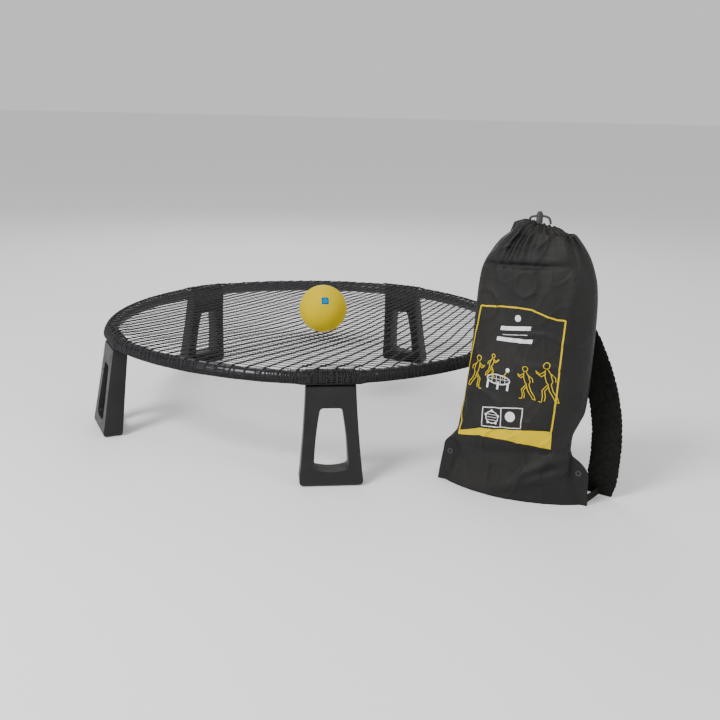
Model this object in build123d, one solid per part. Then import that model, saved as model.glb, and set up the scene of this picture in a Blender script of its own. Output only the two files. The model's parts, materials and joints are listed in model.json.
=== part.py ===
"""Roundnet set: a rounded five-sided rim on folding legs, its net, a ball and a carry bag.

Axes: +X to the right, +Y to the back, +Z up.  Everything is modelled about the ring's own
centre on the ground and moved at the end, so that the origin is the middle of the set's
footprint on the ground.  Lengths are in millimetres.
"""
from build123d import *
import math
import os

# ---- ring ---------------------------------------------------------------------------
RING_DIAMETER = 910.0        # across the net-covered rim, midway between legs
STATION_STANDOUT = 3.5       # how much further out the rim's axis is at a leg
NET_TOP_HEIGHT = 211.4       # ground to the top of the rim with its net
LEG_COUNT = 5
FIRST_LEG_TURN = 9.9         # degrees the front leg sits to the right of the ring's front
BEND_RADIUS = 100.0          # of the rim's axis, at both ends of the straight stretch at a leg
STATION_MARGIN = 1.4         # straight stretch past the net's step, each way
TUBE_DIAMETER = 25.0
TUBE_WALL = 2.0
TUBE_END_GAP = 0.4           # between two rim tubes, inside the leg's sleeve
COUPLER_CLEARANCE = 0.1      # radial, coupler in tube
COUPLER_WALL = 2.0
COUPLER_LENGTH = 54.0

# ---- legs ---------------------------------------------------------------------------
SLEEVE_LENGTH = 90.0
SLEEVE_CLEARANCE = 0.05      # radial
SLEEVE_WALL = 2.5
FOOT_WIDTH = 120.0
FOOT_OFFSET = 8.0            # foot's inner edge outside the rim's axis
FOOT_DEPTH = 40.0
LEG_TOP_STANDOUT = 1.45      # how far the leg's outer face starts outside its sleeve
LEG_WALL = 3.0
LEG_WAIST = 2.5              # how far each side of the leg bows in
FOOT_CORNER = 11.0           # rounding of the foot, seen from outside the ring
TOE_ROUNDING = 8.0           # rounding of the foot's outer lower edge
HEEL_ROUNDING = 4.0
SHOULDER_ANGLE = -60.0       # where the leg's outer face meets the sleeve, below level
WINDOW_TOP_DROP = 53.5       # window's top edge below the rim's axis
WINDOW_SILL = 32.5           # ground to the window's foot
WINDOW_TOP_WIDTH = 40.0
WINDOW_FOOT_WIDTH = 64.0
WINDOW_SIDE_BOW = 2.5        # how far each side of the window bows out
WINDOW_FOOT_BOW = 5.0
WINDOW_CORNER = 7.0

# ---- net ----------------------------------------------------------------------------
NET_THICKNESS = 1.6
NET_GAP = 0.3                # net to tube, and net to sleeve
NET_SLEEVE_OVERHANG = 3.0    # from the sleeve's end to the net's step, clear of a folded leg
HEM_DIAMETER = 3.6
WRAP_END_ANGLE = -26.0       # where the net ends on the tube, degrees below level
SLEEVE_WRAP_END_ANGLE = -24.0
HEM_ANGLE_STEP = 10.0        # from the net's edge to the hem cord's middle
NET_FLAT_MARGIN = 20.0       # how far inside the rim the level border laps under the flange
NET_FLANGE = 34.0            # stretch of net that leaves the rim level
NET_SAG = 22.0               # under the ball
SAG_SPARE = 19.3             # level net left beside the drawn-down part, where it is narrowest
SAG_FLOOR_RADIUS = 10.0
NET_LAP = 1.0                # of the drawn-down part into the level border

# ---- ball ---------------------------------------------------------------------------
BALL_DIAMETER = 104.0
BALL_WALL = 1.4
BALL_PLACE = (25.4, -58.0)
BALL_CLEARANCE = 0.3
VALVE_DIAMETER = 13.0
VALVE_LENGTH = 12.0
VALVE_CLEARANCE = 0.05
VALVE_DIRECTION = (0.16, -0.84, 0.51)

# ---- bag ----------------------------------------------------------------------------
BAG_STANDOFF = 169.1         # from the rim's outside to the bag's middle
BAG_BEARING = 41.37          # degrees to the right of the ring's front
BAG_TURN = -21.8             # degrees about the vertical
FABRIC = 2.0
# height, left edge, right edge, half depth
BAG_SECTIONS = [
    (0.0, -127.3, 127.3, 38.4),
    (50.5, -107.1, 105.0, 42.4),
    (90.9, -105.0, 102.0, 45.5),
    (126.2, -102.0, 106.0, 48.5),
    (171.7, -96.0, 119.2, 50.5),
    (252.5, -87.9, 125.2, 51.5),
    (348.4, -82.8, 126.2, 50.5),
    (404.0, -77.8, 119.2, 46.5),
    (439.4, -61.6, 106.0, 40.4),
    (460.6, -46.5, 92.9, 34.3),
    (476.7, -28.3, 76.8, 28.3),
]
EAR_REACH = 139.4            # half width over the flat corners at the bag's foot
EAR_HEIGHT = 66.7
EAR_ROOT = 42.0              # how far in from its outer edge an ear's foot starts
EAR_TOP_WIDTH = 21.0
EAR_TOP_INSET = 7.0          # how much nearer the bag's middle an ear's outer edge is at its top
EAR_THICKNESS = 3.0
NECK_HEIGHT = 14.0
NECK_CENTRE = 24.0
NECK_HALF_WIDTH = 35.0
NECK_HALF_DEPTH = 22.0
MOUTH_RADIUS = 6.5
MOUTH_SETBACK = 9.0
BASE_PANEL_THICKNESS = 2.0
SEAM_GAP = 0.2
EYELET_HOLE = 5.0
EYELET_BARREL = 1.0
EYELET_CLEARANCE = 0.05
EYELET_FLANGE = 11.0
EYELET_FLANGE_THICKNESS = 0.8
EYELET_HEIGHT = 58.6
EYELET_INSET = 20.0          # from the ear's outer edge

# ---- shoulder straps ----------------------------------------------------------------
STRAP_WIDTH = 54.0
STRAP_THICKNESS = 4.0
STRAP_BACK_GAP = 2.0
STRAP_BEND = 140.0
RIGHT_STRAP = [(40.4, 355.5), (92.9, 300.0), (131.3, 217.2), (153.5, 99.0), (148.5, 5.0)]
LEFT_STRAP = [(-10.1, 355.5), (-32.3, 292.9), (-62.6, 202.0), (-86.9, 99.0), (-99.0, 5.0)]
PATCH_WIDTH = 120.0
PATCH_HEIGHT = 26.0
PATCH_THICKNESS = 1.4
LINK_HEIGHT = 14.0
LINK_THICKNESS = 2.0
LINK_LIFT = 6.0

# ---- drawcord and its lock ----------------------------------------------------------
CORD_DIAMETER = 4.0
CORD_HOLE_CLEARANCE = 0.3
# bag coordinates; heights are above the top of the neck
CORD_ROUTE = [
    (38.0, -5.0, 0.2),
    (37.4, -5.3, 9.0),
    (29.0, -7.5, 13.2),
    (9.4, -6.8, 12.0),
    (0.6, -1.2, 8.4),
    (0.4, -0.9, 0.2),
]
CORD_FILLET_SHARE = 0.45
LOCK_DIAMETER = 11.0
LOCK_HEIGHT = 17.0
LOCK_LIFT = 0.3              # above the neck
LOCK_FLOOR = 1.8
BUTTON_DIAMETER = 8.0
BUTTON_CLEARANCE = 0.05
BUTTON_RISE = 3.2            # above the lock's rim
BUTTON_TRAVEL = 2.5
BUTTON_FOOT = 2.6            # below the cord slot
BUTTON_ROUNDING = 1.0
SPRING_WIRE = 0.5
SPRING_TURNS = 3.5

# ---- worked out ---------------------------------------------------------------------
TUBE_R = TUBE_DIAMETER / 2
WRAP_IN = TUBE_R + NET_GAP
WRAP_OUT = WRAP_IN + NET_THICKNESS
RIM_Z = NET_TOP_HEIGHT - WRAP_OUT
SECTOR = 360.0 / LEG_COUNT
HALF_SECTOR = math.radians(SECTOR / 2)
MID_ARC_R = RING_DIAMETER / 2 - WRAP_OUT
STATION_R = MID_ARC_R + STATION_STANDOUT
SLEEVE_BORE = TUBE_R + SLEEVE_CLEARANCE
SLEEVE_R = SLEEVE_BORE + SLEEVE_WALL
SADDLE_IN = SLEEVE_R + NET_GAP
SADDLE_OUT = SADDLE_IN + NET_THICKNESS
LEG_TOP_REACH = SLEEVE_R + LEG_TOP_STANDOUT
SADDLE_HALF = SLEEVE_LENGTH / 2 + NET_SLEEVE_OVERHANG + NET_THICKNESS
STATION_HALF = SADDLE_HALF + STATION_MARGIN
# the main arc touches both bends beside it and passes MID_ARC_R from the ring's centre
BEND_CENTRE = (STATION_HALF, STATION_R - BEND_RADIUS)
BEND_REACH = BEND_CENTRE[0] * math.sin(HALF_SECTOR) + BEND_CENTRE[1] * math.cos(HALF_SECTOR)
ARC_R = (math.hypot(*BEND_CENTRE) ** 2 - 2 * MID_ARC_R * BEND_REACH + MID_ARC_R**2 - BEND_RADIUS**2) / (
    2 * (MID_ARC_R - BEND_REACH - BEND_RADIUS)
)
BEND_TURN = math.degrees(math.atan2(
    BEND_CENTRE[0] - (MID_ARC_R - ARC_R) * math.sin(HALF_SECTOR),
    BEND_CENTRE[1] - (MID_ARC_R - ARC_R) * math.cos(HALF_SECTOR),
))
SAG_RADIUS = MID_ARC_R - NET_FLAT_MARGIN - SAG_SPARE - math.hypot(*BALL_PLACE)
BALL_R = BALL_DIAMETER / 2
BALL_Z = NET_TOP_HEIGHT - NET_SAG + BALL_CLEARANCE + BALL_R
BAG_DISTANCE = RING_DIAMETER / 2 + BAG_STANDOFF
BAG_PLACE = (
    BAG_DISTANCE * math.sin(math.radians(BAG_BEARING)),
    -BAG_DISTANCE * math.cos(math.radians(BAG_BEARING)),
)
NECK_BASE = BAG_SECTIONS[-1][0]
NECK_TOP = NECK_BASE + NECK_HEIGHT
STRAP_Y = max(section[3] for section in BAG_SECTIONS) + STRAP_BACK_GAP
CORD_R = CORD_DIAMETER / 2
LOCK_MIDDLE = tuple((a + b) / 2 for a, b in zip(CORD_ROUTE[2], CORD_ROUTE[3]))
LOCK_BASE = NECK_TOP + LOCK_LIFT
LOCK_TOP = LOCK_BASE + LOCK_HEIGHT
CORD_AT_LOCK = NECK_TOP + LOCK_MIDDLE[2]
CORD_HOLE_R = CORD_R + CORD_HOLE_CLEARANCE
BUTTON_BOTTOM = CORD_AT_LOCK - CORD_HOLE_R - BUTTON_FOOT
SPRING_BOTTOM = LOCK_BASE + LOCK_FLOOR

BAG_AT = Location((BAG_PLACE[0], BAG_PLACE[1], 0), (0, 0, BAG_TURN))


def leg_turn(k):
    """Turn of leg k about the ring's axis, in degrees from straight front."""
    return FIRST_LEG_TURN + SECTOR * k


def station(k):
    """The rim's axis at leg k: local X runs along the rim, local -Y points outwards."""
    return Location((0, 0, RIM_Z), (0, 0, leg_turn(k))) * Location((0, -STATION_R, 0))


def rim_bends(k):
    """The three arcs from leg k to leg k+1: centre with the turn it starts at, radius, turn."""
    first = station(k) * Location((STATION_HALF, BEND_RADIUS, 0))
    last = station(k + 1) * Location((-STATION_HALF, BEND_RADIUS, 0), (0, 0, -BEND_TURN))
    middle = Location((0, 0, 0), (0, 0, leg_turn(k) + SECTOR / 2))
    middle *= Location((0, ARC_R - MID_ARC_R, RIM_Z), (0, 0, BEND_TURN - SECTOR / 2))
    return [
        (first, BEND_RADIUS, BEND_TURN),
        (middle, ARC_R, SECTOR - 2 * BEND_TURN),
        (last, BEND_RADIUS, BEND_TURN),
    ]


def radial_plane(location):
    """Sketch plane across the rim: sketch X points outwards and sketch Y up."""
    return Plane(location) * Plane(origin=(0, 0, 0), x_dir=(0, -1, 0), z_dir=(-1, 0, 0))


def on_circle(radius, degrees):
    angle = math.radians(degrees)
    return radius * math.cos(angle), radius * math.sin(angle)


def rim_run(outline, k, start, end):
    """An outline across the rim, drawn along the straight stretch of leg k."""
    plane = radial_plane(station(k) * Location((end, 0, 0)))
    return extrude(plane * outline, end - start)


def rim_arc(outline, k):
    """The same outline, taken round the bends from leg k to leg k+1."""
    solid = None
    for centre, radius, turn in rim_bends(k):
        plane = radial_plane(centre * Location((0, -radius, 0)))
        piece = revolve(plane * outline, Axis(centre.position, (0, 0, 1)), turn)
        solid = piece if solid is None else solid + piece
    return solid


# ---- rim ----------------------------------------------------------------------------
def rim_tube(k):
    """One fifth of the rim, from the middle of leg k to the middle of leg k+1."""
    ring = Circle(TUBE_R) - Circle(TUBE_R - TUBE_WALL)
    first = rim_run(ring, k, TUBE_END_GAP / 2, STATION_HALF)
    last = rim_run(ring, k + 1, -STATION_HALF, -TUBE_END_GAP / 2)
    return first + rim_arc(ring, k) + last


def rim_coupler(k):
    """Straight spigot that joins two rim tubes inside leg k's sleeve."""
    radius = TUBE_R - TUBE_WALL - COUPLER_CLEARANCE
    ring = Circle(radius) - Circle(radius - COUPLER_WALL)
    return rim_run(ring, k, -COUPLER_LENGTH / 2, COUPLER_LENGTH / 2)


# ---- leg ----------------------------------------------------------------------------
def tangent_point(x, y, radius):
    """Where a line from (x, y) touches the inner side of a circle about the rim's axis."""
    angle = math.atan2(y, x) - math.acos(radius / math.hypot(x, y))
    return radius * math.cos(angle), radius * math.sin(angle)


def leg_side_outline():
    """The leg from the side, sketch X outwards from the rim's axis."""
    toe = FOOT_OFFSET + FOOT_DEPTH
    points = [
        tangent_point(FOOT_OFFSET, -RIM_Z, SLEEVE_R),
        (FOOT_OFFSET, -RIM_Z),
        (toe, -RIM_Z),
        (LEG_TOP_REACH, -SLEEVE_R),
        on_circle(SLEEVE_R - SLEEVE_WALL / 2, SHOULDER_ANGLE),
        (0, 0),
    ]
    face = make_face(Polyline(*points, close=True))
    low = face.vertices().group_by(Axis.Y)[0].sort_by(Axis.X)
    face = fillet(low[-1], TOE_ROUNDING)
    heel = face.vertices().sort_by_distance((FOOT_OFFSET, -RIM_Z, 0))[0]
    return fillet(heel, HEEL_ROUNDING)


def leg_hollow_outline():
    """The hollow inside the leg from the side: a wall's thickness in, and open towards the ring."""
    toe = FOOT_OFFSET + FOOT_DEPTH
    lean = (toe - LEG_TOP_REACH) / (RIM_Z - SLEEVE_R)
    wall_across = LEG_WALL * math.hypot(1, lean)
    top = -SLEEVE_R - LEG_WALL
    floor = LEG_WALL - RIM_Z
    outer_top = LEG_TOP_REACH + lean * LEG_WALL - wall_across
    outer_foot = toe - lean * LEG_WALL - wall_across
    inside = -2 * SLEEVE_R
    points = [(inside, top), (outer_top, top), (outer_foot, floor), (inside, floor)]
    face = make_face(Polyline(*points, close=True))
    return fillet(face.vertices().sort_by(Axis.X)[-1], TOE_ROUNDING - LEG_WALL)


def bowed(start, end, bow):
    """A side from start to end that bows out to the left of its way by a small rise."""
    dx, dy = end[0] - start[0], end[1] - start[1]
    length = math.hypot(dx, dy)
    middle = ((start[0] + end[0]) / 2 - bow * dy / length, (start[1] + end[1]) / 2 + bow * dx / length)
    return ThreePointArc(start, middle, end)


def leg_front_outline(inset=0.0):
    """The leg from outside the ring: waisted, and wider at the foot than at the sleeve."""
    top = SLEEVE_LENGTH / 2 - inset
    foot = FOOT_WIDTH / 2 - inset
    low = inset - RIM_Z
    line = bowed((-top, SLEEVE_R), (-foot, low), LEG_WAIST)
    line += Line((-foot, low), (foot, low))
    line += bowed((foot, low), (top, SLEEVE_R), LEG_WAIST)
    line += Line((top, SLEEVE_R), (-top, SLEEVE_R))
    face = make_face(line)
    return fillet(face.vertices().group_by(Axis.Y)[0], FOOT_CORNER - inset)


def window_outline(grow=0.0):
    """The leg's window, or with a growth the walls round it."""
    top = WINDOW_TOP_WIDTH / 2 + grow
    foot = WINDOW_FOOT_WIDTH / 2 + grow
    high = -WINDOW_TOP_DROP + grow
    low = WINDOW_SILL - RIM_Z - grow
    line = bowed((-top, high), (-foot, low), -WINDOW_SIDE_BOW)
    line += bowed((-foot, low), (foot, low), -WINDOW_FOOT_BOW)
    line += bowed((foot, low), (top, high), -WINDOW_SIDE_BOW)
    line += Line((top, high), (-top, high))
    face = make_face(line)
    return fillet(face.vertices(), WINDOW_CORNER + grow)


def leg(k):
    """A moulded leg with a window, hollow towards the ring, that turns on the rim."""
    depth = 2 * (FOOT_OFFSET + FOOT_DEPTH)
    side = radial_plane(Location((FOOT_WIDTH / 2, 0, 0)))
    front = Plane(origin=(0, depth, 0), x_dir=(1, 0, 0), z_dir=(0, -1, 0))
    block = extrude(side * leg_side_outline(), FOOT_WIDTH)
    block &= extrude(front * leg_front_outline(), 2 * depth)
    hollow = extrude(side * leg_hollow_outline(), FOOT_WIDTH)
    hollow &= extrude(front * leg_front_outline(LEG_WALL), 2 * depth)
    hollow -= extrude(front * window_outline(LEG_WALL), 2 * depth)
    window = extrude(front * window_outline(), 2 * depth)
    along = Location((0, 0, 0), (0, 90, 0))
    sleeve = along * Cylinder(SLEEVE_R, SLEEVE_LENGTH)
    bore = along * Cylinder(SLEEVE_BORE, 2 * SLEEVE_LENGTH)
    return station(k) * (block - hollow - window + sleeve - bore)


# ---- net ----------------------------------------------------------------------------
def net_outline(inner, outer, end_angle, flange_drop):
    """The net's edge across the rim: round the outside of the tube, then level inwards."""
    start = on_circle(inner, end_angle)
    end = on_circle(outer, end_angle)
    half = (end_angle + 90) / 2
    line = Polyline(
        (0, inner), (-NET_FLANGE, inner - flange_drop), (-NET_FLANGE, outer - flange_drop), (0, outer)
    )
    line += ThreePointArc((0, outer), on_circle(outer, half), end)
    line += Line(end, start)
    line += ThreePointArc(start, on_circle(inner, half), (0, inner))
    return make_face(line)


def net():
    """The net in one piece, drawn over the rim and down under the ball."""
    tube_wrap = net_outline(WRAP_IN, WRAP_OUT, WRAP_END_ANGLE, 0)
    rise = SADDLE_OUT - WRAP_OUT
    saddle = net_outline(SADDLE_IN, SADDLE_OUT, SLEEVE_WRAP_END_ANGLE, rise)
    step = net_outline(WRAP_IN, SADDLE_OUT, SLEEVE_WRAP_END_ANGLE, rise)
    ball_axis = Axis((BALL_PLACE[0], BALL_PLACE[1], 0), (0, 0, 1))
    top = Plane(origin=(BALL_PLACE[0], BALL_PLACE[1], NET_TOP_HEIGHT), x_dir=(1, 0, 0), z_dir=(0, -1, 0))
    bowl = [
        (0, -NET_SAG),
        (SAG_FLOOR_RADIUS, -NET_SAG),
        (SAG_RADIUS, 0),
        (SAG_RADIUS + NET_LAP, 0),
        (SAG_RADIUS + NET_LAP, -NET_THICKNESS),
        (SAG_RADIUS, -NET_THICKNESS),
        (SAG_FLOOR_RADIUS, -NET_SAG - NET_THICKNESS),
        (0, -NET_SAG - NET_THICKNESS),
    ]
    sheet = revolve(top * make_face(Polyline(*bowl, close=True)), ball_axis, 360)
    border = Cylinder(MID_ARC_R - NET_FLAT_MARGIN, NET_THICKNESS)
    border -= Location((BALL_PLACE[0], BALL_PLACE[1], 0)) * Cylinder(SAG_RADIUS, 2 * NET_THICKNESS)
    sheet += Location((0, 0, NET_TOP_HEIGHT - NET_THICKNESS / 2)) * border
    for k in range(LEG_COUNT):
        sheet += rim_arc(tube_wrap, k)
        sheet += rim_run(tube_wrap, k, -STATION_HALF, NET_THICKNESS / 2 - SADDLE_HALF)
        sheet += rim_run(tube_wrap, k, SADDLE_HALF - NET_THICKNESS / 2, STATION_HALF)
        sheet += rim_run(saddle, k, -SADDLE_HALF, SADDLE_HALF)
        sheet += rim_run(step, k, -SADDLE_HALF, NET_THICKNESS - SADDLE_HALF)
        sheet += rim_run(step, k, SADDLE_HALF - NET_THICKNESS, SADDLE_HALF)
    return sheet


def net_hem_cord():
    """The cord in the net's edge, which draws it tight under the rim."""
    dot = Circle(HEM_DIAMETER / 2)
    on_tube = on_circle(WRAP_IN + HEM_DIAMETER / 2, WRAP_END_ANGLE - HEM_ANGLE_STEP)
    on_sleeve = on_circle(SADDLE_IN + HEM_DIAMETER / 2, SLEEVE_WRAP_END_ANGLE - HEM_ANGLE_STEP)
    cord = None
    for k in range(LEG_COUNT):
        tube_dot = Location((*on_tube, 0)) * dot
        pieces = rim_arc(tube_dot, k)
        pieces += rim_run(tube_dot, k, -STATION_HALF, -SADDLE_HALF)
        pieces += rim_run(tube_dot, k, SADDLE_HALF, STATION_HALF)
        pieces += rim_run(Location((*on_sleeve, 0)) * dot, k, -SADDLE_HALF, SADDLE_HALF)
        cord = pieces if cord is None else cord + pieces
    return cord


# ---- ball ---------------------------------------------------------------------------
def valve_location():
    direction = Vector(*VALVE_DIRECTION).normalized()
    centre = Vector(BALL_PLACE[0], BALL_PLACE[1], BALL_Z)
    return Location(Plane(origin=centre + direction * BALL_R, z_dir=direction))


def ball_shell():
    """The ball's skin, with the hole that its valve sits in."""
    at = Location((BALL_PLACE[0], BALL_PLACE[1], BALL_Z))
    skin = at * (Sphere(BALL_R) - Sphere(BALL_R - BALL_WALL))
    return skin - valve_location() * Cylinder(VALVE_DIAMETER / 2 + VALVE_CLEARANCE, VALVE_LENGTH)


def ball_valve():
    """A rubber plug that ends flush with the skin."""
    middle = valve_location() * Location((0, 0, -VALVE_LENGTH / 2))
    plug = middle * Cylinder(VALVE_DIAMETER / 2, VALVE_LENGTH)
    at = Location((BALL_PLACE[0], BALL_PLACE[1], BALL_Z))
    return plug & (at * Sphere(BALL_R))


# ---- bag ----------------------------------------------------------------------------
def bag_slice(section, inset):
    height, left, right, depth = section
    outline = Ellipse((right - left) / 2 - inset, depth - inset)
    return Location(((left + right) / 2, 0, height)) * outline


def bag_solid(inset):
    return loft([bag_slice(section, inset) for section in BAG_SECTIONS], ruled=True)


def ear(side):
    """A flat sewn corner at the foot of the bag, side -1 left and +1 right."""
    top = EAR_REACH - EAR_TOP_INSET
    points = [
        (side * (EAR_REACH - EAR_ROOT), 0),
        (side * EAR_REACH, 0),
        (side * top, EAR_HEIGHT),
        (side * (top - EAR_TOP_WIDTH), EAR_HEIGHT),
    ]
    face = Plane.XZ.offset(-EAR_THICKNESS / 2) * make_face(Polyline(*points, close=True))
    return extrude(face, EAR_THICKNESS)


def eyelet_place(side):
    across = side * (EAR_REACH - EYELET_INSET)
    return Location((across, 0, EYELET_HEIGHT), (90, 0, 0))


def bag_shell():
    """The bag's cloth: a hollow standing body with a flat corner at each side of its foot."""
    inner = bag_solid(FABRIC)
    skin = bag_solid(0) + ear(-1) + ear(1)
    skin -= inner
    for side in (-1, 1):
        skin -= eyelet_place(side) * Cylinder(EYELET_HOLE / 2 + EYELET_BARREL, 4 * EAR_THICKNESS)
    return BAG_AT * skin


def bag_base_panel():
    """The stiffer panel that lies in the foot of the bag."""
    solid = bag_solid(FABRIC + SEAM_GAP)
    slab = Box(4 * EAR_REACH, 4 * EAR_REACH, BASE_PANEL_THICKNESS)
    slab = Location((0, 0, BASE_PANEL_THICKNESS / 2)) * slab
    return BAG_AT * (solid & slab)


def bag_neck_hem():
    """The gathered channel round the mouth, drawn nearly shut."""
    place = Location((NECK_CENTRE, 0, NECK_BASE))
    ring = extrude(place * Ellipse(NECK_HALF_WIDTH, NECK_HALF_DEPTH), NECK_HEIGHT)
    mouth = Location((NECK_CENTRE, MOUTH_SETBACK, NECK_BASE + NECK_HEIGHT / 2))
    return BAG_AT * (ring - mouth * Cylinder(MOUTH_RADIUS, 2 * NECK_HEIGHT))


def bag_eyelet(side):
    """A pressed metal eyelet through the bag's corner."""
    half = EAR_THICKNESS / 2 + SEAM_GAP
    flange = Cylinder(EYELET_FLANGE / 2, EYELET_FLANGE_THICKNESS)
    offset = half + EYELET_FLANGE_THICKNESS / 2
    body = Cylinder(EYELET_HOLE / 2 + EYELET_BARREL - EYELET_CLEARANCE, 2 * half)
    body += Location((0, 0, offset)) * flange + Location((0, 0, -offset)) * flange
    body -= Cylinder(EYELET_HOLE / 2, 4 * half)
    return BAG_AT * eyelet_place(side) * body


def strap(points):
    """A flat padded strap that hangs behind the bag and bows in its own plane."""
    path = FilletPolyline(*[(x, 0, z) for x, z in points], radius=STRAP_BEND)
    path = Location((0, STRAP_Y + STRAP_THICKNESS / 2, 0)) * path
    start = Plane(origin=path @ 0, z_dir=path % 0, x_dir=(0, 1, 0))
    return BAG_AT * sweep(start * Rectangle(STRAP_THICKNESS, STRAP_WIDTH), path=path)


def strap_patch():
    """The patch on the bag's back that both straps are sewn to."""
    place = Location((
        (RIGHT_STRAP[0][0] + LEFT_STRAP[0][0]) / 2,
        STRAP_Y - PATCH_THICKNESS / 2 - SEAM_GAP,
        RIGHT_STRAP[0][1] - PATCH_HEIGHT / 2,
    ))
    return BAG_AT * place * Box(PATCH_WIDTH, PATCH_THICKNESS, PATCH_HEIGHT)


def strap_link(side, strap_points):
    """The webbing from a strap's lower end to the bag's corner."""
    y0 = EAR_THICKNESS / 2 + SEAM_GAP
    y1 = STRAP_Y - SEAM_GAP
    x0 = side * (EAR_REACH - LINK_THICKNESS)
    x1 = strap_points[-1][0]
    slope = (x1 - x0) / (y1 - y0)
    half = LINK_THICKNESS / 2 * math.hypot(1, slope)
    corners = [(x0 - half, y0), (x0 + half, y0), (x1 + half, y1), (x1 - half, y1)]
    face = Location((0, 0, LINK_LIFT)) * make_face(Polyline(*corners, close=True))
    return BAG_AT * extrude(face, LINK_HEIGHT)


# ---- drawcord and lock --------------------------------------------------------------
def cord_points():
    return [Vector(x, y, NECK_TOP + z) for x, y, z in CORD_ROUTE]


def cord_radii(points):
    """The largest bend at each corner that leaves the runs beside it some straight."""
    radii = []
    for before, here, after in zip(points, points[1:], points[2:]):
        turn = math.radians((here - before).get_angle(after - here))
        shorter = min((here - before).length, (after - here).length)
        radii.append(CORD_FILLET_SHARE * shorter / math.tan(turn / 2))
    return radii


def drawcord():
    """The loop of drawcord that stands out of the neck and runs through its lock."""
    points = cord_points()
    path = FilletPolyline(*points, radius=cord_radii(points))
    start = Plane(origin=path @ 0, z_dir=path % 0)
    return BAG_AT * sweep(start * Circle(CORD_R), path=path)


def lock_location(height):
    """At the lock's axis, local X along the cord."""
    along = cord_points()[3] - cord_points()[2]
    turn = math.degrees(math.atan2(along.Y, along.X))
    return Location((LOCK_MIDDLE[0], LOCK_MIDDLE[1], height), (0, 0, turn))


def cord_tilt():
    along = cord_points()[3] - cord_points()[2]
    return -math.degrees(math.atan2(along.Z, math.hypot(along.X, along.Y)))


def lock_body():
    """The barrel of the cord lock, open at the top for its button."""
    barrel = Location((0, 0, LOCK_HEIGHT / 2)) * Cylinder(LOCK_DIAMETER / 2, LOCK_HEIGHT)
    rims = barrel.edges().filter_by(GeomType.CIRCLE)
    barrel = fillet(rims, (LOCK_DIAMETER - BUTTON_DIAMETER) / 4)
    well_height = LOCK_HEIGHT - LOCK_FLOOR
    well = Location((0, 0, LOCK_FLOOR + well_height)) * Cylinder(
        BUTTON_DIAMETER / 2 + BUTTON_CLEARANCE, 2 * well_height
    )
    across = Location((0, 0, CORD_AT_LOCK - LOCK_BASE), (0, 90 + cord_tilt(), 0))
    hole = across * Cylinder(CORD_HOLE_R, 2 * LOCK_DIAMETER)
    return BAG_AT * lock_location(LOCK_BASE) * (barrel - well - hole)


def lock_button():
    """The button that grips the cord; its slot is long enough for the press."""
    top = LOCK_TOP + BUTTON_RISE
    height = top - BUTTON_BOTTOM
    body = Location((0, 0, height / 2)) * Cylinder(BUTTON_DIAMETER / 2, height)
    body = fillet(body.edges().filter_by(GeomType.CIRCLE).sort_by(Axis.Z)[-1], BUTTON_ROUNDING)
    cord_height = CORD_AT_LOCK - BUTTON_BOTTOM
    across = Location((0, 0, cord_height), (0, 90 + cord_tilt(), 0))
    slot = SlotCenterToCenter(BUTTON_TRAVEL, 2 * CORD_HOLE_R)
    slot = extrude(Location((-BUTTON_TRAVEL / 2, 0, -LOCK_DIAMETER)) * slot, 2 * LOCK_DIAMETER)
    return BAG_AT * lock_location(BUTTON_BOTTOM) * (body - across * slot)


def lock_spring():
    """The coil under the button."""
    length = BUTTON_BOTTOM - SPRING_BOTTOM - 2 * SPRING_WIRE
    radius = BUTTON_DIAMETER / 2 - 2 * SPRING_WIRE
    coil = Helix(length / SPRING_TURNS, length, radius)
    start = Plane(origin=coil @ 0, z_dir=coil % 0)
    wire = sweep(start * Circle(SPRING_WIRE / 2), path=coil)
    return BAG_AT * lock_location(SPRING_BOTTOM + SPRING_WIRE) * wire


# ---- the set ------------------------------------------------------------------------
def build():
    """Every piece by name, about the ring's centre."""
    pieces = {}
    for k in range(LEG_COUNT):
        pieces[f"rim_tube_{k + 1}"] = rim_tube(k)
        pieces[f"rim_coupler_{k + 1}"] = rim_coupler(k)
        pieces[f"leg_{k + 1}"] = leg(k)
    pieces["net"] = net()
    pieces["net_hem_cord"] = net_hem_cord()
    pieces["ball_shell"] = ball_shell()
    pieces["ball_valve"] = ball_valve()
    pieces["bag_shell"] = bag_shell()
    pieces["bag_base_panel"] = bag_base_panel()
    pieces["bag_neck_hem"] = bag_neck_hem()
    pieces["bag_eyelet_left"] = bag_eyelet(-1)
    pieces["bag_eyelet_right"] = bag_eyelet(1)
    pieces["shoulder_strap_right"] = strap(RIGHT_STRAP)
    pieces["shoulder_strap_left"] = strap(LEFT_STRAP)
    pieces["strap_patch"] = strap_patch()
    pieces["strap_link_right"] = strap_link(1, RIGHT_STRAP)
    pieces["strap_link_left"] = strap_link(-1, LEFT_STRAP)
    pieces["drawcord"] = drawcord()
    pieces["cord_lock_body"] = lock_body()
    pieces["cord_lock_button"] = lock_button()
    pieces["cord_lock_spring"] = lock_spring()
    return pieces


def footprint_middle(pieces):
    """The point on the ground under the middle of the set, without its cord."""
    boxes = [shape.bounding_box() for name, shape in pieces.items() if name != "drawcord"]
    x = (min(b.min.X for b in boxes) + max(b.max.X for b in boxes)) / 2
    y = (min(b.min.Y for b in boxes) + max(b.max.Y for b in boxes)) / 2
    return Vector(x, y, min(b.min.Z for b in boxes))


PIECES = build()
ORIGIN = footprint_middle(PIECES)
os.makedirs("parts", exist_ok=True)
for name, shape in PIECES.items():
    export_step(Location(-ORIGIN) * shape, f"parts/{name}.step")
print("origin in ring coordinates:", [round(v, 3) for v in tuple(ORIGIN)])
print("cord radii:", [round(r, 1) for r in cord_radii(cord_points())])
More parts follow.
